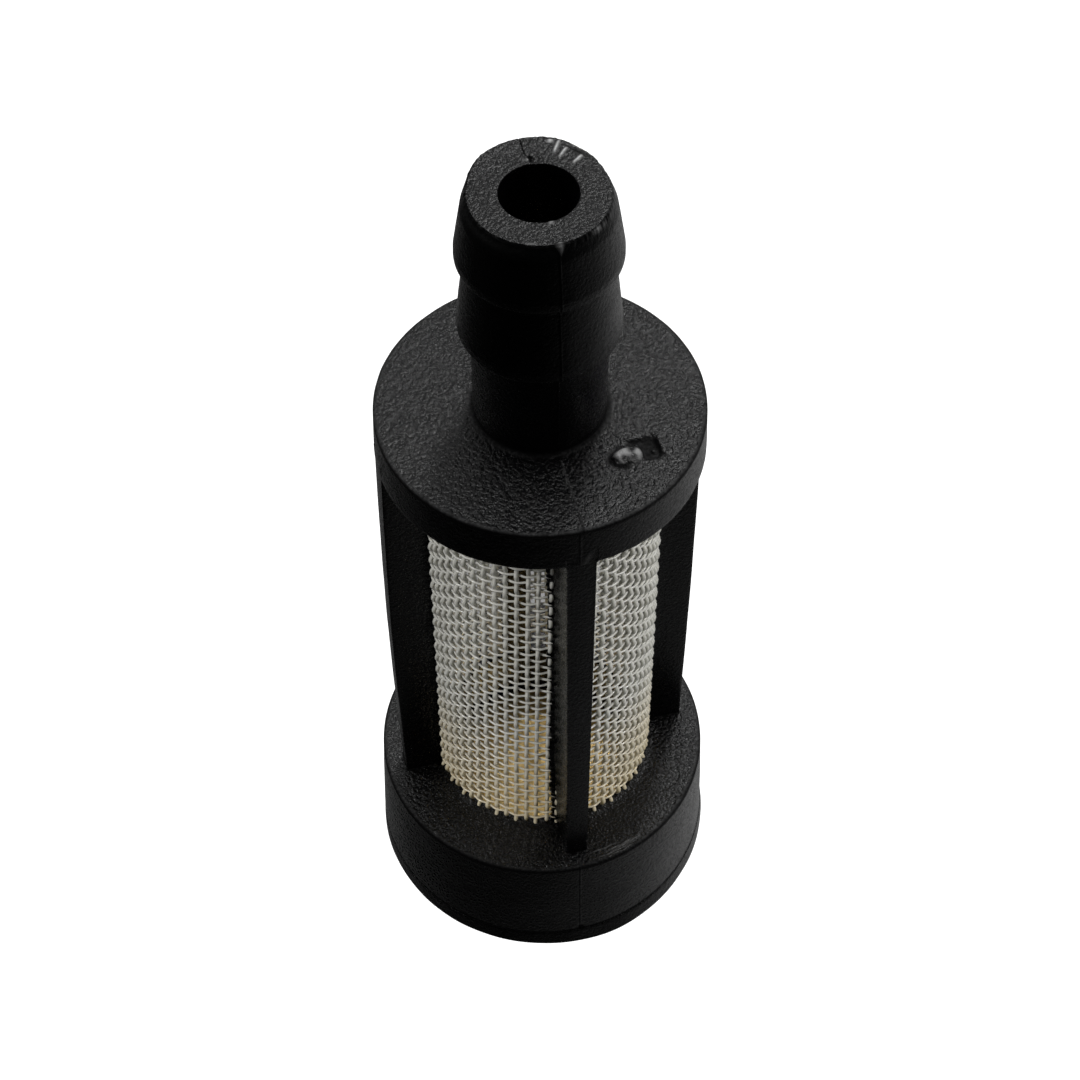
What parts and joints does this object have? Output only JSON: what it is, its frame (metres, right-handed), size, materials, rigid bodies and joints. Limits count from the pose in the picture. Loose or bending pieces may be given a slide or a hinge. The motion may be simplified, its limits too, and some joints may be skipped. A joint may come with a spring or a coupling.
{
  "type": "in-tank fuel filter",
  "caption": "Small-engine in-tank fuel filter: black moulded cage with a barbed hose tail, a woven mesh screen sleeve and a brass weight in its base.",
  "frame": {"origin": "centre of the flat underside of the base cap", "axes": "+Z along the filter's axis, out of the hose tail; +X through the middle of the window that is in line with the gate mark; the ribs stand at 45 degrees between +X and +Y"},
  "size_m": [0.0166, 0.0166, 0.0446],
  "materials": {
    "cage_plastic": "satin",
    "screen_thread": "satin",
    "weight_brass": "satin"
  },
  "bodies": {
    "root": {"cage": "cage_plastic", "screen": "screen_thread", "weight": "weight_brass", "base_cap": "cage_plastic"}
  },
  "joints": []
}
